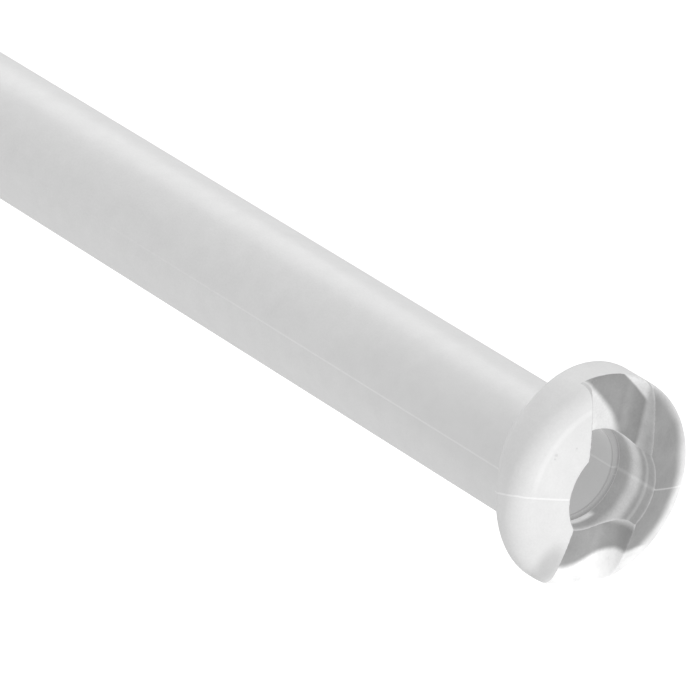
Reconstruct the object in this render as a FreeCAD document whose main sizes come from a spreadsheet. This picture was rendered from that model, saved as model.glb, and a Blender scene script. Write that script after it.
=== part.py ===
import FreeCAD, Part
import math
import os
import Sketcher

# Saliva ejector: a plastic tube with a push-on slotted tip, and a wire in the
# tube's wall that holds the bend it is given.
# +X runs along the tube from its rear end to the tip, and Z is across the
# tube, along the tip's slot. The origin is the centre of the rear end.

DRIVING_SIZES = [
    # tube
    ("tube_length", 147.1),
    ("tube_radius", 3.25),
    ("seat_radius", 3.05),
    ("seat_length", 2.2),
    ("bore_radius", 2.35),
    ("bore_offset", 0.36),
    ("lumen_radius", 0.37),
    ("lumen_offset", -2.52),
    # wire
    ("wire_radius", 0.35),
    ("wire_recess", 0.5),
    # tip
    ("tip_start", 144.92),
    ("tip_offset", 0.43),
    ("tip_radius", 5.36),
    ("tip_base", 1.2),
    ("mouth_radius", 2.56),
    ("socket_radius", 3.07),
    ("socket_depth", 2.3),
    ("back_tilt", 6.5),
    ("back_turn", -45.0),
    ("back_step", 0.36),
    ("back_lip", 3.45),
    ("back_slope", 46.0),
    ("shoulder_round", 0.45),
    ("front_round", 0.95),
    ("dome_radius", 13.5),
    ("dome_top", 5.33),
    ("slot_width", 3.85),
    ("slot_floor", 3.4),
    ("slot_corner", 1.2),
]


def fill_sheet(doc):
    sheet = doc.addObject("Spreadsheet::Sheet", "sizes")
    for row, (alias, value) in enumerate(DRIVING_SIZES, start=1):
        sheet.set(f"A{row}", alias)
        sheet.set(f"B{row}", str(value))
        sheet.setAlias(f"B{row}", alias)
    doc.recompute()
    return sheet


def origin_plane(body, role):
    for feature in body.Origin.OriginFeatures:
        if feature.Role == role:
            return feature
    raise ValueError(role)


def add_body(doc, name):
    body = doc.addObject("PartDesign::Body", name)
    body.Label = name
    return body


def add_sketch(body, name, role):
    sketch = body.newObject("Sketcher::SketchObject", name)
    sketch.AttachmentSupport = [(origin_plane(body, role), "")]
    sketch.MapMode = "FlatFace"
    return sketch


def drive(sketch, constraint, name, formula):
    index = sketch.addConstraint(constraint)
    sketch.renameConstraint(index, name)
    sketch.setExpression(f"Constraints.{name}", formula)


def add_circle(sketch, name, radius, height, radius_formula, height_formula=None):
    """A circle on the sketch's vertical axis, its size and height from the sheet."""
    centre = FreeCAD.Vector(0, height, 0)
    circle = sketch.addGeometry(Part.Circle(centre, FreeCAD.Vector(0, 0, 1), radius), False)
    drive(sketch, Sketcher.Constraint("Radius", circle, radius), f"{name}_radius", radius_formula)
    if height_formula is None:
        sketch.addConstraint(Sketcher.Constraint("Coincident", circle, 3, -1, 1))
        return
    sketch.addConstraint(Sketcher.Constraint("PointOnObject", circle, 3, -2))
    rise = Sketcher.Constraint("DistanceY", -1, 1, circle, 3, height)
    if height < 0:
        rise = Sketcher.Constraint("DistanceY", circle, 3, -1, 1, -height)
        height_formula = f"-({height_formula})"
    drive(sketch, rise, f"{name}_height", height_formula)


def add_pad(body, sketch, name, length_formula):
    pad = body.newObject("PartDesign::Pad", name)
    pad.Profile = sketch
    pad.setExpression("Length", length_formula)
    return pad


def cut_forward(doc, body, sketch, name, length_formula):
    """A pocket from the sketch towards +X, checked to remove material."""
    before = body.Shape.Volume
    pocket = body.newObject("PartDesign::Pocket", name)
    pocket.Profile = sketch
    pocket.Reversed = True
    pocket.setExpression("Length", length_formula)
    doc.recompute()
    if body.Shape.Volume >= before:
        raise RuntimeError(f"{name} cut nothing")
    return pocket


def draw_tube_section(body, sizes, name, outside):
    """A round section with a bore set off centre, and a lumen for the wire in the thick wall."""
    section = add_sketch(body, name, "YZ_Plane")
    add_circle(section, "outside", getattr(sizes, outside), 0, f"sizes.{outside}")
    add_circle(section, "bore", sizes.bore_radius, sizes.bore_offset,
               "sizes.bore_radius", "sizes.bore_offset")
    add_circle(section, "lumen", sizes.lumen_radius, sizes.lumen_offset,
               "sizes.lumen_radius", "sizes.lumen_offset")
    return section


def make_tube(doc, sizes):
    """The extruded tube, with its front end eased a little to seat the tip."""
    body = add_body(doc, "tube")
    section = draw_tube_section(body, sizes, "tube_section", "tube_radius")
    add_pad(body, section, "tube_extrusion", "sizes.tube_length - sizes.seat_length")
    seat = draw_tube_section(body, sizes, "seat_section", "seat_radius")
    seat.setExpression("AttachmentOffset.Base.z", "sizes.tube_length - sizes.seat_length")
    add_pad(body, seat, "tip_seat", "sizes.seat_length")
    doc.recompute()
    return body


def make_wire(doc, sizes):
    """The shape-holding wire, which stops short of both ends of the tube."""
    body = add_body(doc, "shaping_wire")
    section = add_sketch(body, "wire_section", "YZ_Plane")
    add_circle(section, "wire", sizes.wire_radius, sizes.lumen_offset,
               "sizes.wire_radius", "sizes.lumen_offset")
    add_pad(body, section, "wire_length", "sizes.tube_length - 2 * sizes.wire_recess")
    body.setExpression("Placement.Base.x", "sizes.wire_recess")
    doc.recompute()
    return body


def front_arcs(sizes):
    """The round at the front of the band, tangent to band and dome, and the dome itself."""
    vector = FreeCAD.Vector
    dome_centre = vector(sizes.dome_top - sizes.dome_radius, 0, 0)
    to_round = sizes.dome_radius - sizes.front_round
    height = sizes.tip_radius - sizes.front_round
    centre = dome_centre + vector(math.sqrt(to_round ** 2 - height ** 2), height, 0)
    onto_dome = (centre - dome_centre).normalize()
    half_way = (onto_dome + vector(0, 1, 0)).normalize()
    band_end = centre + vector(0, sizes.front_round, 0)
    dome_start = dome_centre + onto_dome * sizes.dome_radius
    dome_middle = dome_centre + (onto_dome + vector(1, 0, 0)).normalize() * sizes.dome_radius
    crown = vector(sizes.dome_top, 0, 0)
    front_round = Part.Arc(band_end, centre + half_way * sizes.front_round, dome_start)
    return front_round, Part.Arc(dome_start, dome_middle, crown)


def draw_outline(body, sizes):
    """The outline that is turned into the head: band, front round and dome."""
    vector = FreeCAD.Vector
    base = vector(-sizes.tip_base, 0, 0)
    base_edge = vector(-sizes.tip_base, sizes.tip_radius, 0)
    front_round, dome = front_arcs(sizes)
    sketch = add_sketch(body, "head_outline", "XY_Plane")
    base_line, band_line, axis_line = sketch.addGeometry([
        Part.LineSegment(base, base_edge),
        Part.LineSegment(base_edge, front_round.StartPoint),
        Part.LineSegment(dome.EndPoint, base),
    ], False)
    # A sketch keeps an arc anticlockwise, so these two start at their front ends.
    round_arc, dome_arc = sketch.addGeometry([front_round, dome], False)
    sketch.addConstraint([
        Sketcher.Constraint("Vertical", base_line),
        Sketcher.Constraint("Horizontal", band_line),
        Sketcher.Constraint("Coincident", base_line, 2, band_line, 1),
        Sketcher.Constraint("Coincident", axis_line, 2, base_line, 1),
        Sketcher.Constraint("Coincident", dome_arc, 1, axis_line, 1),
        Sketcher.Constraint("Tangent", band_line, 2, round_arc, 2),
        Sketcher.Constraint("Tangent", round_arc, 1, dome_arc, 2),
        Sketcher.Constraint("PointOnObject", base_line, 1, -1),
        Sketcher.Constraint("PointOnObject", axis_line, 1, -1),
        Sketcher.Constraint("PointOnObject", dome_arc, 3, -1),
    ])
    drive(sketch, Sketcher.Constraint("DistanceX", base_line, 1, -1, 1, sizes.tip_base),
          "base", "sizes.tip_base")
    drive(sketch, Sketcher.Constraint("DistanceY", -1, 1, band_line, 1, sizes.tip_radius),
          "band", "sizes.tip_radius")
    drive(sketch, Sketcher.Constraint("Radius", round_arc, sizes.front_round),
          "front", "sizes.front_round")
    drive(sketch, Sketcher.Constraint("Radius", dome_arc, sizes.dome_radius),
          "dome", "sizes.dome_radius")
    drive(sketch, Sketcher.Constraint("DistanceX", -1, 1, dome_arc, 1, sizes.dome_top),
          "crown", "sizes.dome_top")
    return sketch


def draw_back_cut(body, sizes):
    """What is turned away behind the head: its back face and a cone, about a tilted axis."""
    tilt = math.radians(sizes.back_tilt)
    slope = math.radians(sizes.back_slope)
    along = FreeCAD.Vector(math.cos(tilt), math.sin(tilt), 0)
    across = FreeCAD.Vector(-math.sin(tilt), math.cos(tilt), 0)
    outside = sizes.tip_radius + 2
    behind = -2 * sizes.tip_base
    rim = sizes.back_step + (outside - sizes.back_lip) / math.tan(slope)
    corners = [
        along * sizes.back_step,
        along * sizes.back_step + across * sizes.back_lip,
        along * rim + across * outside,
        along * behind + across * outside,
        along * behind,
    ]
    sketch = add_sketch(body, "back_cut", "XZ_Plane")
    sketch.AttachmentOffset.Rotation = FreeCAD.Rotation(FreeCAD.Vector(1, 0, 0), sizes.back_turn)
    sketch.setExpression("AttachmentOffset.Rotation.Angle", "sizes.back_turn * 1 deg")
    face, cone, rim_line, far_line, axis_line = sketch.addGeometry([
        Part.LineSegment(start, end) for start, end in zip(corners, corners[1:] + corners[:1])
    ], False)
    sketch.addConstraint([
        Sketcher.Constraint("Coincident", face, 2, cone, 1),
        Sketcher.Constraint("Coincident", cone, 2, rim_line, 1),
        Sketcher.Constraint("Coincident", rim_line, 2, far_line, 1),
        Sketcher.Constraint("Coincident", far_line, 2, axis_line, 1),
        Sketcher.Constraint("Coincident", axis_line, 2, face, 1),
        Sketcher.Constraint("Perpendicular", face, axis_line),
        Sketcher.Constraint("Perpendicular", far_line, axis_line),
        Sketcher.Constraint("Parallel", rim_line, axis_line),
        Sketcher.Constraint("PointOnObject", -1, 1, axis_line),
    ])
    drive(sketch, Sketcher.Constraint("Angle", axis_line, tilt),
          "tilt", "sizes.back_tilt * 1 deg")
    drive(sketch, Sketcher.Constraint("Distance", axis_line, 2, -1, 1, sizes.back_step),
          "step", "sizes.back_step")
    drive(sketch, Sketcher.Constraint("Distance", face, sizes.back_lip),
          "lip", "sizes.back_lip")
    drive(sketch, Sketcher.Constraint("Angle", cone, tilt + slope),
          "slope", "(sizes.back_tilt + sizes.back_slope) * 1 deg")
    drive(sketch, Sketcher.Constraint("Distance", far_line, outside),
          "outside", "sizes.tip_radius + 2")
    drive(sketch, Sketcher.Constraint("Distance", -1, 1, axis_line, 1, -behind),
          "behind", "2 * sizes.tip_base")
    return sketch, axis_line


def shoulder_edges(shape, sizes):
    """The curved edges that lie on the band, behind its front round."""
    names = []
    for index, edge in enumerate(shape.Edges, start=1):
        if edge.Degenerated:
            continue
        first, last = edge.ParameterRange
        points = [edge.valueAt(first + (last - first) * step / 4) for step in range(5)]
        spread = [math.hypot(point.y, point.z - sizes.tip_offset) for point in points]
        on_band = all(abs(radius - sizes.tip_radius) < 0.001 for radius in spread)
        reach = max(point.x for point in points) - sizes.tip_start
        straight = abs(points[0].y - points[2].y) + abs(points[0].z - points[2].z) < 0.001
        if on_band and not straight and reach < sizes.slot_floor:
            names.append(f"Edge{index}")
    return names


def draw_slot(body, sizes):
    """The slot's U-shaped section: a flat floor, two round corners and two walls."""
    vector = FreeCAD.Vector
    wall = sizes.slot_width / 2
    flat = wall - sizes.slot_corner
    bend = sizes.slot_floor + sizes.slot_corner
    lean = sizes.slot_corner * math.sqrt(0.5)
    mouth = sizes.dome_top + 1
    sketch = add_sketch(body, "slot_section", "XY_Plane")
    floor, right_wall, opening, left_wall = sketch.addGeometry([
        Part.LineSegment(vector(sizes.slot_floor, flat, 0), vector(sizes.slot_floor, -flat, 0)),
        Part.LineSegment(vector(bend, -wall, 0), vector(mouth, -wall, 0)),
        Part.LineSegment(vector(mouth, -wall, 0), vector(mouth, wall, 0)),
        Part.LineSegment(vector(mouth, wall, 0), vector(bend, wall, 0)),
    ], False)
    right_corner, left_corner = sketch.addGeometry([
        Part.Arc(vector(sizes.slot_floor, -flat, 0), vector(bend - lean, -flat - lean, 0),
                 vector(bend, -wall, 0)),
        Part.Arc(vector(bend, wall, 0), vector(bend - lean, flat + lean, 0),
                 vector(sizes.slot_floor, flat, 0)),
    ], False)
    sketch.addConstraint([
        Sketcher.Constraint("Tangent", floor, 2, right_corner, 1),
        Sketcher.Constraint("Tangent", right_corner, 2, right_wall, 1),
        Sketcher.Constraint("Coincident", right_wall, 2, opening, 1),
        Sketcher.Constraint("Coincident", opening, 2, left_wall, 1),
        Sketcher.Constraint("Tangent", left_wall, 2, left_corner, 1),
        Sketcher.Constraint("Tangent", left_corner, 2, floor, 1),
        Sketcher.Constraint("Symmetric", right_wall, 2, left_wall, 1, -1),
        Sketcher.Constraint("Equal", right_corner, left_corner),
        Sketcher.Constraint("Horizontal", right_wall),
    ])
    drive(sketch, Sketcher.Constraint("DistanceX", -1, 1, floor, 1, sizes.slot_floor),
          "depth", "sizes.slot_floor")
    drive(sketch, Sketcher.Constraint("DistanceX", -1, 1, opening, 1, mouth),
          "mouth", "sizes.dome_top + 1")
    drive(sketch, Sketcher.Constraint("DistanceY", right_wall, 2, left_wall, 1, 2 * wall),
          "width", "sizes.slot_width")
    drive(sketch, Sketcher.Constraint("Radius", right_corner, sizes.slot_corner),
          "corner", "sizes.slot_corner")
    return sketch


def make_tip(doc, sizes):
    """The moulded tip: a domed head with a sloped back, a socket, a mouth and a slot."""
    body = add_body(doc, "slotted_tip")
    body.setExpression("Placement.Base.x", "sizes.tip_start")
    body.setExpression("Placement.Base.z", "sizes.tip_offset")
    outline = draw_outline(body, sizes)
    head = body.newObject("PartDesign::Revolution", "domed_head")
    head.Profile = outline
    head.ReferenceAxis = (outline, ["H_Axis"])
    head.Angle = 360
    doc.recompute()

    back_cut, axis_line = draw_back_cut(body, sizes)
    whole = body.Shape.Volume
    groove = body.newObject("PartDesign::Groove", "sloped_back")
    groove.Profile = back_cut
    groove.ReferenceAxis = (back_cut, [f"Edge{axis_line + 1}"])
    groove.Angle = 360
    doc.recompute()
    if body.Shape.Volume >= whole:
        raise RuntimeError("sloped_back cut nothing")

    rounding = body.newObject("PartDesign::Fillet", "shoulder")
    rounding.Base = (groove, shoulder_edges(body.Shape, sizes))
    rounding.setExpression("Radius", "sizes.shoulder_round")
    doc.recompute()

    socket = add_sketch(body, "socket_section", "YZ_Plane")
    add_circle(socket, "socket", sizes.socket_radius, -sizes.tip_offset,
               "sizes.socket_radius", "-sizes.tip_offset")
    socket.setExpression("AttachmentOffset.Base.z", "-sizes.tip_base")
    cut_forward(doc, body, socket, "tube_socket", "sizes.socket_depth + sizes.tip_base")

    mouth = add_sketch(body, "mouth_section", "YZ_Plane")
    add_circle(mouth, "mouth", sizes.mouth_radius, 0, "sizes.mouth_radius")
    cut_forward(doc, body, mouth, "suction_mouth", "sizes.dome_top + sizes.tip_base")

    slot = draw_slot(body, sizes)
    before = body.Shape.Volume
    pocket = body.newObject("PartDesign::Pocket", "front_slot")
    pocket.Profile = slot
    pocket.SideType = "Symmetric"
    pocket.setExpression("Length", "2 * sizes.tip_radius + 2")
    doc.recompute()
    if body.Shape.Volume >= before:
        raise RuntimeError("front_slot cut nothing")
    return body


def check_document(doc, bodies):
    for item in doc.Objects:
        if "Invalid" in item.State or "Error" in item.State:
            raise RuntimeError(f"{item.Label} is {item.State}")
    for body in bodies:
        if body.Shape.isNull() or not body.Shape.isValid():
            raise RuntimeError(f"{body.Label} has no valid shape")


def main():
    doc = FreeCAD.newDocument("saliva_ejector")
    sizes = fill_sheet(doc)
    bodies = [make_tube(doc, sizes), make_wire(doc, sizes), make_tip(doc, sizes)]
    doc.recompute()
    check_document(doc, bodies)
    os.makedirs("parts", exist_ok=True)
    for body in bodies:
        body.Shape.exportStep(f"parts/{body.Label}.step")
        box = body.Shape.BoundBox
        print(f"{body.Label}: volume {body.Shape.Volume:.2f} mm3, "
              f"x {box.XMin:.2f} to {box.XMax:.2f}, z {box.ZMin:.2f} to {box.ZMax:.2f}")


main()
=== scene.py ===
import math

import bmesh
import bpy
import numpy as np
from mathutils import Matrix, Vector


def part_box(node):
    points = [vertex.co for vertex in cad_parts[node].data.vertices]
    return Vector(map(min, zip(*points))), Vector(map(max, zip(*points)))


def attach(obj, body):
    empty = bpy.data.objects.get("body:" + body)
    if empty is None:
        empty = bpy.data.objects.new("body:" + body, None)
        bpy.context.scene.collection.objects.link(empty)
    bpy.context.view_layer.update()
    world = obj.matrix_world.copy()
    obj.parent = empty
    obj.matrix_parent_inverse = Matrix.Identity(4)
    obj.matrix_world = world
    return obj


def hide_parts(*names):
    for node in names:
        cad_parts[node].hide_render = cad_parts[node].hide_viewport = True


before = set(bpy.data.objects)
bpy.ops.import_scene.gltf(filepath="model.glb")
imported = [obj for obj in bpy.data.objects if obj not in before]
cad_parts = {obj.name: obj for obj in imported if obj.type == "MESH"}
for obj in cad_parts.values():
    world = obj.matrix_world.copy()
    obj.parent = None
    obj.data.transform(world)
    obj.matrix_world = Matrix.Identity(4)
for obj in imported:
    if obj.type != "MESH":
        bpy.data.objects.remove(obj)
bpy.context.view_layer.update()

MM = 0.001

# Sizes read from the CAD parts, in metres
tube_low, tube_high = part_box("tube")
tip_low, tip_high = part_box("slotted_tip")
TUBE_RADIUS = (tube_high.y - tube_low.y) / 2
TIP_AXIS_Z = (tip_high.z + tip_low.z) / 2
TIP_FRONT = tip_high.x

# The tip's features, in millimetres behind its foremost point and from its own axis
MOUTH_RADIUS = 2.56
SLOT_HALF_WIDTH = 1.925
SLOT_FLOOR = 1.68
BAND_FRONT = 0.89

# The parting line: its height on the near lobe and how fast it falls behind the band,
# then where it crosses the far lobe's middle height and how fast it falls outwards
NEAR_LINE_HEIGHT = -0.15
NEAR_LINE_FALL = 0.264
FAR_LINE_START = 2.6
FAR_LINE_FALL = 0.1

# The ridge along the parting line and the small pits on the near lobe, in millimetres
RIDGE_WIDTH = 0.045
RIDGE_HEIGHT = 0.03
TUBE_RIDGE_THICKNESS = 0.03
TUBE_RIDGE_DEPTH = 0.022
MARK_DEPTH = 0.03
SURFACE_MARKS = [(-2.7, 2.35, 0.07), (-3.7, 2.0, 0.1), (-3.75, 1.8, 0.07)]

# Gap left between the tube's full width and the tip's back, and the wire's height in the tube
BACK_GAP = 0.02
WIRE_HEIGHT = -2.52

# The frosted plastic's own tone, and the strength of the painted glow that stands in for the daylight
# coming through its walls
FROSTED = 0.84
THROUGH_LIGHT = 0.2


# ---------------------------------------------------------------- shader maths

class Sock:
    """A shader value that Python's operators work on, each adding one Math node."""

    def __init__(self, tree, socket):
        self.tree = tree
        self.socket = socket

    def _math(self, operation, *values):
        return self.tree.node("ShaderNodeMath", {"operation": operation}, *values)

    def __add__(self, other):
        return self._math("ADD", self, other)

    def __radd__(self, other):
        return self._math("ADD", other, self)

    def __sub__(self, other):
        return self._math("SUBTRACT", self, other)

    def __rsub__(self, other):
        return self._math("SUBTRACT", other, self)

    def __mul__(self, other):
        return self._math("MULTIPLY", self, other)

    def __rmul__(self, other):
        return self._math("MULTIPLY", other, self)

    def __truediv__(self, other):
        return self._math("DIVIDE", self, other)

    def __rtruediv__(self, other):
        return self._math("DIVIDE", other, self)

    def __neg__(self):
        return self._math("MULTIPLY", self, -1.0)

    def __pow__(self, other):
        return self._math("POWER", self, other)

    def __abs__(self):
        return self._math("ABSOLUTE", self)

    def sqrt(self):
        return self._math("SQRT", self)

    def floor_at(self, other):
        return self._math("MAXIMUM", self, other)

    def above(self, start, end):
        """0 below start and 1 past end, with a smooth rise between."""
        return self.tree.node(
            "ShaderNodeMapRange", {"interpolation_type": "SMOOTHSTEP"}, self, start, end, 0.0, 1.0)

    def below(self, start, end):
        """1 below start and 0 past end, with a smooth fall between."""
        return 1 - self.above(start, end)


class Material:
    """A node material with one Principled shader, and a short way to add nodes to it."""

    def __init__(self, name):
        self.material = bpy.data.materials.new(name)
        self.material.use_nodes = True
        self.nodes = self.material.node_tree.nodes
        self.links = self.material.node_tree.links
        self.nodes.clear()
        self.output = self.nodes.new("ShaderNodeOutputMaterial")
        self.shader = self.nodes.new("ShaderNodeBsdfPrincipled")
        self.links.new(self.shader.outputs["BSDF"], self.output.inputs["Surface"])

    def node(self, kind, settings, *values, output=0):
        """Adds a node, applies its settings, then fills its inputs in order."""
        node = self.nodes.new(kind)
        for key, value in settings.items():
            setattr(node, key, value)
        for index, value in enumerate(values):
            if value is not None:
                self._fill(node.inputs[index], value)
        return Sock(self, node.outputs[output])

    def _fill(self, target, value):
        if isinstance(value, Sock):
            self.links.new(value.socket, target)
        else:
            target.default_value = value

    def set(self, **values):
        for name, value in values.items():
            self._fill(self.shader.inputs[name.replace("_", " ")], value)

    def position(self):
        """Object coordinates as three values, in millimetres."""
        place = self.node("ShaderNodeTexCoord", {}, output="Object")
        split = self.nodes.new("ShaderNodeSeparateXYZ")
        self.links.new(place.socket, split.inputs[0])
        axes = [Sock(self, split.outputs[index]) * (1 / MM) for index in range(3)]
        return place, axes

    def noise(self, place, scale, detail=2.0, roughness=0.5):
        return self.node(
            "ShaderNodeTexNoise", {"noise_dimensions": "3D"},
            place, None, scale, detail, roughness, output="Fac")

    def bump(self, height, strength, distance):
        node = self.nodes.new("ShaderNodeBump")
        node.inputs["Strength"].default_value = strength
        node.inputs["Distance"].default_value = distance
        self._fill(node.inputs["Height"], height)
        return Sock(self, node.outputs["Normal"])


def grey(value):
    return (value, value, value, 1.0)


def hypot(first, second):
    return (first * first + second * second).sqrt()


# -------------------------------------------------------------------- materials

def add_shader(material, mask, **values):
    """Mixes in a second Principled shader where the mask is 1."""
    other = material.nodes.new("ShaderNodeBsdfPrincipled")
    for name, value in values.items():
        material._fill(other.inputs[name.replace("_", " ")], value)
    choose = material.nodes.new("ShaderNodeMixShader")
    material._fill(choose.inputs[0], mask)
    material.links.new(material.shader.outputs[0], choose.inputs[1])
    material.links.new(other.outputs[0], choose.inputs[2])
    material.links.new(choose.outputs[0], material.output.inputs["Surface"])


def moulded_grain(material, place):
    """The spark-eroded texture of the mould, as a height and as faint cloudiness."""
    fine = material.noise(place, 9000, 3.0, 0.6)
    cloud = material.noise(place, 900, 3.0, 0.55)
    return fine, 1 + (cloud - 0.5) * 0.1 + (fine - 0.5) * 0.1


def make_tube_plastic():
    """Milky extruded plastic, frosted outside, with a glossier bore; the bore and the end face carry
    painted shade, and the bore a painted glow.
    """
    finish = Material("milky_tube_plastic")
    place, (x, y, z) = finish.position()
    grain, clouding = moulded_grain(finish, place)
    radius = hypot(y, z)
    wall = radius.below(TUBE_RADIUS / MM - 0.35, TUBE_RADIUS / MM - 0.25)
    end = x.above(tube_high.x / MM - 0.15, tube_high.x / MM - 0.05)
    inside = wall.floor_at(end)
    seam = abs(z - 0.4).below(0.02, 0.08) * y.above(1.0, 1.6) * inside
    line = abs(z).below(0.02, 0.055) * abs(y).above(2.5, 2.6) * x.above(100, 138)
    near_tip = x.above(126, 143) * abs(z - 0.8).below(0.6, 2.6) * 0.07 * grain
    # Painted shade: the bore and the end face are darkened; the emission below is a painted glow in the
    # bore for daylight through the walls.
    shaded = 1 - inside * 0.4 - end * 0.15
    colour = FROSTED * clouding * (1 - near_tip) * shaded + line * 0.1 + seam * 0.1
    finish.set(Base_Color=colour, Roughness=0.34 - inside * 0.1,
               Normal=finish.bump(grain, 0.25, 0.02 * MM),
               Emission_Color=inside * (1 - end * 0.2) * THROUGH_LIGHT, Emission_Strength=1.0,
               IOR=1.46)
    return finish.material


def tip_places(finish):
    """Positions on the tip in millimetres: depth behind its front, across, and along the slot."""
    place, (x, y, z) = finish.position()
    depth = TIP_FRONT / MM - x
    along = z - TIP_AXIS_Z / MM
    return place, depth, y, along


def polished_mask(depth, across, along):
    """1 in the slot, in the mouth and on the dome of the lobe on the +Y side."""
    mouth = hypot(across, along).below(MOUTH_RADIUS + 0.03, MOUTH_RADIUS + 0.07)
    slot = (abs(across).below(SLOT_HALF_WIDTH + 0.02, SLOT_HALF_WIDTH + 0.06)
            * depth.below(SLOT_FLOOR + 0.05, SLOT_FLOOR + 0.1))
    dome = across.above(SLOT_HALF_WIDTH, SLOT_HALF_WIDTH + 0.05) * depth.below(0.95, 1.25)
    return mouth.floor_at(slot).floor_at(dome)


def slot_shade(across, along):
    """The slot's floor in painted light and shade: light, with a dark hook at the top and a dark band
    at the bottom.
    """
    rise = (along - 1.7).floor_at(0)
    hook_left = 1.0 - rise * rise * 0.25
    past_bend = (along - 3.8).floor_at(0)
    hook_right = 1.82 - past_bend * past_bend * 0.5
    hook = ((across - hook_left).above(-0.2, 0.35) * (across - hook_right).below(-0.1, 0.08)
            * along.above(1.5, 1.7))
    reach = across + 0.5
    dark_end = reach * reach * 0.18 - 4.4
    band = (along - dark_end).above(-0.15, 0.2) * along.below(-2.2, -1.7)
    white_end = (along - dark_end).below(-0.2, 0.1)
    light = 0.8 + white_end * 0.2
    return light * (1 - hook) * (1 - band) + hook * 0.32 + band * 0.37


def mouth_shade(depth, across, along):
    """The mouth's wall in painted shade and light: dark inside, with a painted light band where the
    plastic round it is thin.
    """
    band = depth.above(0.8, 1.3) * depth.below(1.45, 2.1)
    crest = depth.above(0.45, 0.58) * depth.below(0.6, 0.8)
    seam = abs(along).below(0.02, 0.16) * across.above(1.5, 2.0)
    patch = along.below(-2.25, -2.05) * depth.above(2.25, 2.5) * depth.below(3.1, 3.5)
    shade = 0.36 + band * 0.24 + crest * 0.1 + seam * 0.06
    return shade * (1 - patch) + patch * 0.7


def dome_shade(across, along, sway):
    """The polished lobe in painted shade and light: dark in the middle and light round its outer edge.
    """
    radius = hypot(across, along) + sway
    edge = 4.35 + (along + 1).floor_at(0) * 0.16
    outer = (radius - edge).above(-0.6, 0.45)
    top = (along + sway).above(4.5, 4.9)
    foot = (along + sway + 3.35 - (across - 2.3).floor_at(0) * 0.25).below(-0.15, 0.3)
    light = outer.floor_at(top).floor_at(foot)
    seam = abs(along + (across - FAR_LINE_START) * FAR_LINE_FALL).below(0.02, 0.06)
    return 0.31 + light * 0.62 + seam * 0.16


def make_tip_plastic():
    """Milky moulded plastic: frosted by the mould outside, polished in slot, mouth and far lobe, whose
    tones are painted light and shade.
    """
    finish = Material("milky_tip_plastic")
    place, depth, across, along = tip_places(finish)
    grain, clouding = moulded_grain(finish, place)
    radius = hypot(across, along)

    behind = (depth - BAND_FRONT).floor_at(0)
    line = (abs(along - NEAR_LINE_HEIGHT + behind * NEAR_LINE_FALL).below(0.025, 0.065)
            * across.below(-2.5, -2.4))
    # Painted shade at the bottom front of the near lobe.
    patch = hypot((across + 2.5) / 0.85, (along + 3.75) / 1.35).below(0.3, 1.2)
    marks = None
    for mark_across, mark_along, size in SURFACE_MARKS:
        spot = hypot(across - mark_across, along - mark_along).below(size * 0.4, size)
        marks = spot if marks is None else marks.floor_at(spot)
    front = depth.below(1.2, 1.4)
    # Painted shade on the rounded front edge, and a painted highlight as a thin line along it on the
    # near lobe's upper side.
    painted_edge_shade = radius.above(4.4, 4.75)
    painted_highlight_streak = abs(radius - 4.5).below(0.03, 0.2) * along.above(-0.5, 1.0) * across.below(-1.9, -1.8)
    back = depth.above(2.4, 3.8) * 0.04
    frosted = (FROSTED * clouding * (1 - back) * (1 - patch * front * 0.24) * (1 - marks * front * 0.12)
               * (1 - painted_edge_shade * 0.03) + line * 0.13 + painted_highlight_streak * 0.05)
    finish.set(Base_Color=frosted, Roughness=0.5, Normal=finish.bump(grain, 0.2, 0.02 * MM),
               Subsurface_Weight=0.2, Subsurface_Scale=0.8 * MM, Subsurface_Radius=(1, 1, 1), IOR=1.46)

    # The polished parts' colour is painted shade and painted light, standing in for what the clear
    # plastic reflects and shows through it.
    ripple = finish.noise(place, 700, 3.0, 0.55)
    sway = (finish.noise(place, 330, 1.0, 0.4) - 0.5) * 0.7
    in_mouth = radius.below(MOUTH_RADIUS + 0.03, MOUTH_RADIUS + 0.07)
    on_dome = across.above(SLOT_HALF_WIDTH, SLOT_HALF_WIDTH + 0.04)
    on_wall = abs(across).above(1.72, 1.86) * along.above(1.5, 1.7)
    slot = slot_shade(across + sway, along - sway) * (1 - on_wall) + on_wall * 0.56
    shade = slot * (1 - on_dome) + dome_shade(across, along, sway) * on_dome
    shade = shade * (1 - in_mouth) + mouth_shade(depth, across, along) * in_mouth
    shade = shade * (1 + (ripple - 0.5) * 0.5 + (grain - 0.5) * 0.25)
    # The socket round the tube's end: painted shade, with a painted glow like the mouth's.
    from_tube_axis = hypot(across, along + TIP_AXIS_Z / MM)
    socket = depth.above(2.65, 2.75) * from_tube_axis.below(3.1, 3.15)
    shade = shade * (1 - socket) + socket * 0.5
    # Painted glow: emission in the mouth and the socket, and faintly on all polished parts.
    glow = in_mouth.floor_at(socket) * 0.3 + 0.07
    add_shader(finish, polished_mask(depth, across, along).floor_at(socket), Base_Color=shade,
               Roughness=0.32, Specular_IOR_Level=0.3, Emission_Color=shade * glow,
               Emission_Strength=1.0, Normal=finish.bump(ripple, 0.1, 0.05 * MM), IOR=1.46)
    return finish.material


def make_wire_metal():
    """Drawn wire: bright, with fine lines along it."""
    finish = Material("drawn_wire")
    y, z = finish.position()[1][1:]
    turn = finish.node("ShaderNodeMath", {"operation": "ARCTAN2"}, z - WIRE_HEIGHT, y)
    lines = finish.node("ShaderNodeTexNoise", {"noise_dimensions": "1D"},
                        None, turn * 9, 3.0, 2.0, 0.5)
    finish.set(Base_Color=0.5 + lines * 0.2, Roughness=0.25 + lines * 0.2)
    finish.shader.inputs["Metallic"].default_value = 1.0
    return finish.material


# ---------------------------------------------------------------------- camera

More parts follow.
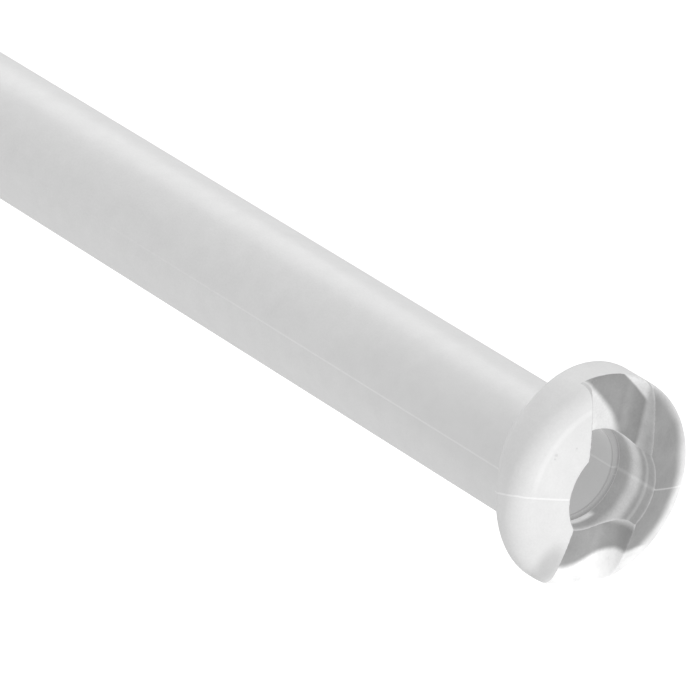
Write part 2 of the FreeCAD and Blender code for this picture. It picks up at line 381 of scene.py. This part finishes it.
# The camera looks back along the tube from in front of the tip, on its -Y side and above,
# and leans a little, so that the tip's slot leans with it.
VIEW_BACK = Vector((0.7071, -0.6310, 0.3190)).normalized()
VIEW_ACROSS = Vector((0.60, 0.773, 0.198))
VIEW_RIGHT = (VIEW_ACROSS - VIEW_BACK * VIEW_ACROSS.dot(VIEW_BACK)).normalized()
VIEW_UP = VIEW_BACK.cross(VIEW_RIGHT)
DISTANCE = 330 * MM
VIEW_WIDTH = 32.86 * MM
SENSOR_WIDTH = 36.0
TIP_RIGHT_OF_CENTRE = 11.78 * MM
TIP_BELOW_CENTRE = 6.455 * MM


def add_camera():
    data = bpy.data.cameras.new("camera")
    data.sensor_width = SENSOR_WIDTH
    data.lens = SENSOR_WIDTH * DISTANCE / VIEW_WIDTH
    data.clip_start = 0.01
    data.clip_end = 10
    camera = bpy.data.objects.new("camera", data)
    tip = Vector((TIP_FRONT - BAND_FRONT * MM, 0, TIP_AXIS_Z - 0.07 * MM))
    place = (tip - VIEW_RIGHT * TIP_RIGHT_OF_CENTRE + VIEW_UP * TIP_BELOW_CENTRE
             + VIEW_BACK * DISTANCE)
    turn = Matrix((VIEW_RIGHT, VIEW_UP, VIEW_BACK)).transposed().to_4x4()
    camera.matrix_world = Matrix.Translation(place) @ turn
    bpy.context.scene.collection.objects.link(camera)
    bpy.context.scene.camera = camera


# ---------------------------------------------------------------------- pieces

def link_piece(name, mesh, material):
    """A smooth-shaded object with one material, at the origin."""
    piece = bpy.data.objects.new(name, mesh)
    bpy.context.scene.collection.objects.link(piece)
    mesh.materials.clear()
    mesh.materials.append(material)
    mesh.polygons.foreach_set("use_smooth", [True] * len(mesh.polygons))
    return piece


def joined_copy(node, name):
    """A copy of a CAD part's mesh with its loose triangles joined."""
    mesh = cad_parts[node].data.copy()
    mesh.name = name
    work = bmesh.new()
    work.from_mesh(mesh)
    bmesh.ops.remove_doubles(work, verts=work.verts, dist=0.0005 * MM)
    work.to_mesh(mesh)
    work.free()
    return mesh


def temporary_holder(mesh):
    holder = bpy.data.objects.new("holder", mesh)
    bpy.context.scene.collection.objects.link(holder)
    return holder


def mesh_after_modifiers(holder):
    """The mesh that the holder's modifiers make; the holder itself is removed."""
    bpy.context.view_layer.update()
    evaluated = holder.evaluated_get(bpy.context.evaluated_depsgraph_get())
    result = bpy.data.meshes.new_from_object(evaluated)
    bpy.data.objects.remove(holder)
    return result


def even_mesh(mesh, voxel, softening):
    """The same solid in small even faces, with its sharp edges eased as a mould leaves them."""
    holder = temporary_holder(mesh)
    change = holder.modifiers.new("even", "REMESH")
    change.mode = "VOXEL"
    change.voxel_size = voxel
    soften = holder.modifiers.new("soften", "SMOOTH")
    soften.iterations = softening
    soften.factor = 0.5
    return mesh_after_modifiers(holder)


def raise_parting_line(mesh):
    """Lifts the fine ridge where the mould's halves met, and presses in the small marks."""
    count = len(mesh.vertices)
    points = np.empty(count * 3, np.float32)
    normals = np.empty(count * 3, np.float32)
    mesh.vertices.foreach_get("co", points)
    mesh.vertices.foreach_get("normal", normals)
    points = points.reshape(-1, 3).astype(float)
    normals = normals.reshape(-1, 3)
    depth = (TIP_FRONT - points[:, 0]) / MM
    across = points[:, 1] / MM
    along = (points[:, 2] - TIP_AXIS_Z) / MM
    outside = np.hypot(across, along) > MOUTH_RADIUS + 0.1
    near = NEAR_LINE_HEIGHT - NEAR_LINE_FALL * np.maximum(depth - BAND_FRONT, 0)
    far = -FAR_LINE_FALL * (across - FAR_LINE_START)
    offset = np.abs(along - np.where(across < 0, near, far))
    ridge = np.exp(-(offset / RIDGE_WIDTH) ** 2) * outside * (np.abs(across) > 1.95)
    dent = np.zeros(count)
    for mark_across, mark_along, size in SURFACE_MARKS:
        gap = np.hypot(across - mark_across, along - mark_along)
        dent += np.exp(-(gap / size) ** 2) * (depth < 1.3)
    lift = (RIDGE_HEIGHT * ridge - MARK_DEPTH * dent) * MM
    points += normals * lift[:, None]
    low, high = np.array(tip_low), np.array(tip_high)
    points = np.clip(points, low, high)
    mesh.vertices.foreach_set("co", points.astype(np.float32).ravel())
    mesh.update()


def tip_back_at(y, z):
    """How far along the tube the tip's slanted back face lies, read from its socket's rim."""
    points = np.array([vertex.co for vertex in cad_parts["slotted_tip"].data.vertices])
    spread = np.hypot(points[:, 1], points[:, 2])
    near_back = points[:, 0] < tip_low.x + 1.3 * MM
    rim = points[near_back & (spread < spread[near_back].min() + 0.03 * MM)]
    facts = np.column_stack([np.ones(len(rim)), rim[:, 1], rim[:, 2]])
    plane = np.linalg.lstsq(facts, rim[:, 0], rcond=None)[0]
    return plane[0] + plane[1] * y + plane[2] * z


def add_loop(work, angles, radii, x, centre_z):
    """One ring of points; x may be one value or one for each point."""
    places = np.broadcast_to(x, len(angles))
    return [work.verts.new((place, radius * math.cos(angle), centre_z + radius * math.sin(angle)))
            for place, angle, radius in zip(places, angles, radii)]


def bridge(work, first, second, flip):
    """A band of faces between two rings with the same number of points."""
    count = len(first)
    for index in range(count):
        following = (index + 1) % count
        corners = [first[index], first[following], second[following], second[index]]
        work.faces.new(corners[::-1] if flip else corners)


def close_end(work, loops):
    """Fills a section of the tube: its outline with the bore and the wire's lumen left open."""
    edges = []
    for loop in loops:
        for index, vertex in enumerate(loop):
            edges.append(work.edges.get((vertex, loop[(index + 1) % len(loop)])))
    bmesh.ops.triangle_fill(work, use_beauty=True, use_dissolve=False, edges=edges)


def make_tube_mesh():
    """The tube with its bore and the wire's lumen, its full width carried up to the tip."""
    section = joined_copy("tube", "tube_section")
    points = np.array([vertex.co for vertex in section.vertices])
    front = tube_high.x
    at_front = points[np.abs(points[:, 0] - front) < 0.01 * MM]
    seat_radius = (at_front[:, 1].max() - at_front[:, 1].min()) / 2
    inner = points[np.hypot(points[:, 1], points[:, 2]) < seat_radius - 0.02 * MM]
    step_x = points[(points[:, 0] > 1 * MM) & (points[:, 0] < front - 1 * MM), 0].max()
    lumen = inner[(inner[:, 2] < -2.14 * MM) & (np.abs(inner[:, 1]) < 0.38 * MM)]
    lumen_z = (lumen[:, 2].max() + lumen[:, 2].min()) / 2
    lumen_radius = (lumen[:, 2].max() - lumen[:, 2].min()) / 2
    bore_radius = inner[:, 1].max()
    bore_z = inner[:, 2].max() - bore_radius

    angles = np.linspace(0, 2 * math.pi, 128, endpoint=False)
    outside = np.full(len(angles), TUBE_RADIUS)
    seat = np.full(len(angles), seat_radius)
    tip_back = tip_back_at(TUBE_RADIUS * np.cos(angles), TUBE_RADIUS * np.sin(angles))
    shoulder = tip_back - BACK_GAP * MM
    round_angles = np.linspace(0, 2 * math.pi, 72, endpoint=False)
    small_angles = np.linspace(0, 2 * math.pi, 24, endpoint=False)

    work = bmesh.new()
    outer = [add_loop(work, angles, outside, x, 0) for x in np.linspace(0, step_x - 1 * MM, 60)]
    outer.append(add_loop(work, angles, outside, shoulder, 0))
    outer.append(add_loop(work, angles, seat, shoulder, 0))
    outer.append(add_loop(work, angles, seat, front, 0))
    for first, second in zip(outer, outer[1:]):
        bridge(work, first, second, True)
    ends = [[outer[0]], [outer[-1]]]
    for hole_angles, radius, height in (
            (round_angles, bore_radius, bore_z), (small_angles, lumen_radius, lumen_z)):
        radii = np.full(len(hole_angles), radius)
        loops = [add_loop(work, hole_angles, radii, x, height) for x in (0, step_x, front)]
        for first, second in zip(loops, loops[1:]):
            bridge(work, first, second, False)
        ends[0].append(loops[0])
        ends[1].append(loops[-1])
    for loops in ends:
        close_end(work, loops)
    bmesh.ops.recalc_face_normals(work, faces=work.faces)
    for edge in work.edges:
        if len(edge.link_faces) == 2 and edge.calc_face_angle(0) > math.radians(40):
            edge.smooth = False
    mesh = bpy.data.meshes.new("tube_extrusion")
    work.to_mesh(mesh)
    work.free()
    return mesh


def ridge_group(material):
    """Geometry Nodes: evenly turned copies of one thin straight ridge, joined to the tube."""
    group = bpy.data.node_groups.new("parting_ridges", "GeometryNodeTree")
    sockets = {}
    for name, kind in (("Geometry", "Geometry"), ("Count", "Int"), ("Length", "Float"),
                       ("Distance", "Float"), ("Thickness", "Float"), ("Material", "Material")):
        sockets[name] = group.interface.new_socket(name, in_out="INPUT",
                                                   socket_type="NodeSocket" + kind)
    group.interface.new_socket("Geometry", in_out="OUTPUT", socket_type="NodeSocketGeometry")
    given = group.nodes.new("NodeGroupInput")

    def add(kind, **links):
        node = group.nodes.new(kind)
        for name, source in links.items():
            group.links.new(source, node.inputs[name.replace("_", " ")])
        return node

    start = add("ShaderNodeCombineXYZ", Y=given.outputs["Distance"])
    end = add("ShaderNodeCombineXYZ", X=given.outputs["Length"], Y=given.outputs["Distance"])
    path = add("GeometryNodeCurvePrimitiveLine", Start=start.outputs[0], End=end.outputs[0])
    section = add("GeometryNodeCurvePrimitiveCircle", Radius=given.outputs["Thickness"])
    section.inputs["Resolution"].default_value = 8
    ridge = add("GeometryNodeCurveToMesh", Curve=path.outputs[0], Profile_Curve=section.outputs[0])
    ridge.inputs["Fill Caps"].default_value = True
    points = add("GeometryNodePoints", Count=given.outputs["Count"])
    turn = add("ShaderNodeMath")
    turn.operation = "DIVIDE"
    turn.inputs[0].default_value = 2 * math.pi
    group.links.new(given.outputs["Count"], turn.inputs[1])
    each = add("ShaderNodeMath")
    each.operation = "MULTIPLY"
    group.links.new(add("GeometryNodeInputIndex").outputs[0], each.inputs[0])
    group.links.new(turn.outputs[0], each.inputs[1])
    rotation = add("ShaderNodeCombineXYZ", X=each.outputs[0])
    copies = add("GeometryNodeInstanceOnPoints", Points=points.outputs[0], Instance=ridge.outputs[0],
                 Rotation=rotation.outputs[0])
    together = add("GeometryNodeJoinGeometry", Geometry=copies.outputs[0])
    group.links.new(given.outputs["Geometry"], together.inputs[0])
    whole = add("GeometryNodeRealizeInstances", Geometry=together.outputs[0])
    coated = add("GeometryNodeSetMaterial", Geometry=whole.outputs[0],
                 Material=given.outputs["Material"])
    result = add("NodeGroupOutput")
    group.links.new(coated.outputs[0], result.inputs[0])
    values = {"Count": 2, "Length": float(tip_back_at(0, 0) - 2 * BACK_GAP * MM),
              "Distance": TUBE_RADIUS - TUBE_RIDGE_DEPTH * MM,
              "Thickness": TUBE_RIDGE_THICKNESS * MM, "Material": material}
    return group, {sockets[name].identifier: value for name, value in values.items()}


def with_ridges(mesh, material):
    """The tube's mesh with its two ridges joined on."""
    holder = temporary_holder(mesh)
    change = holder.modifiers.new("ridges", "NODES")
    change.node_group, values = ridge_group(material)
    for identifier, value in values.items():
        change[identifier] = value
    return mesh_after_modifiers(holder)


def add_pieces():
    tip_mesh = even_mesh(joined_copy("slotted_tip", "tip_moulding"), 0.067 * MM, 3)
    raise_parting_line(tip_mesh)
    tip = link_piece("tip_moulding", tip_mesh, make_tip_plastic())
    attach(tip, "tip_body")
    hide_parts("slotted_tip")

    plastic = make_tube_plastic()
    tube = link_piece("tube_extrusion", with_ridges(make_tube_mesh(), plastic), plastic)
    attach(tube, "tube_body")
    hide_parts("tube")

    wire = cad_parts["shaping_wire"]
    wire.data.materials.clear()
    wire.data.materials.append(make_wire_metal())


# ---------------------------------------------------------------------- studio

def view_direction(across, upwards, towards):
    return (VIEW_RIGHT * across + VIEW_UP * upwards + VIEW_BACK * towards).normalized()


SOFTBOX_SIDE = 0.25
SOFTBOX_DISTANCE = 0.5


def add_softbox(name, direction, power):
    """A square light that faces the front of the tube from the given direction."""
    data = bpy.data.lights.new(name, "AREA")
    data.size = SOFTBOX_SIDE
    data.energy = power
    lamp = bpy.data.objects.new(name, data)
    lamp.location = Vector((TIP_FRONT - 0.02, 0, 0)) + direction * SOFTBOX_DISTANCE
    lamp.rotation_euler = direction.to_track_quat("Z", "Y").to_euler()
    bpy.context.scene.collection.objects.link(lamp)


def add_floor():
    """A plain white floor well below the part, kept out of the light that falls on it."""
    drop, reach = 0.08, 3.0
    mesh = bpy.data.meshes.new("floor")
    mesh.from_pydata([(-reach, -reach, -drop), (reach, -reach, -drop), (reach, reach, -drop),
                      (-reach, reach, -drop)], [], [(0, 1, 2, 3)])
    floor = bpy.data.objects.new("floor", mesh)
    bpy.context.scene.collection.objects.link(floor)
    paper = Material("white_paper")
    paper.set(Base_Color=grey(0.9), Roughness=0.9, Emission_Color=grey(1), Emission_Strength=0.5)
    mesh.materials.append(paper.material)
    floor.visible_diffuse = False
    floor.visible_glossy = False
    floor.visible_shadow = False


def add_world():
    """Even white light, which the camera sees as a pure white backdrop."""
    world = bpy.data.worlds.new("studio")
    bpy.context.scene.world = world
    world.use_nodes = True
    tree = world.node_tree
    light = tree.nodes["Background"]
    light.inputs[0].default_value = grey(1)
    light.inputs[1].default_value = 0.66
    backdrop = tree.nodes.new("ShaderNodeBackground")
    backdrop.inputs[0].default_value = grey(1)
    ray = tree.nodes.new("ShaderNodeLightPath")
    choose = tree.nodes.new("ShaderNodeMixShader")
    tree.links.new(ray.outputs["Is Camera Ray"], choose.inputs[0])
    tree.links.new(light.outputs[0], choose.inputs[1])
    tree.links.new(backdrop.outputs[0], choose.inputs[2])
    tree.links.new(choose.outputs[0], tree.nodes["World Output"].inputs["Surface"])


def add_studio():
    add_softbox("key", Vector((-0.707, 0.25, 0.66)).normalized(), 0.32)
    add_softbox("top", view_direction(0.3, 0.95, 0.05), 0.3)
    add_softbox("side", view_direction(-0.8, -0.55, 0.3), 0.15)
    add_softbox("front", Vector((1, 0, -0.1)).normalized(), 0.85)
    add_floor()
    add_world()
    bpy.context.scene.view_settings.view_transform = "Standard"


add_camera()
add_pieces()
add_studio()
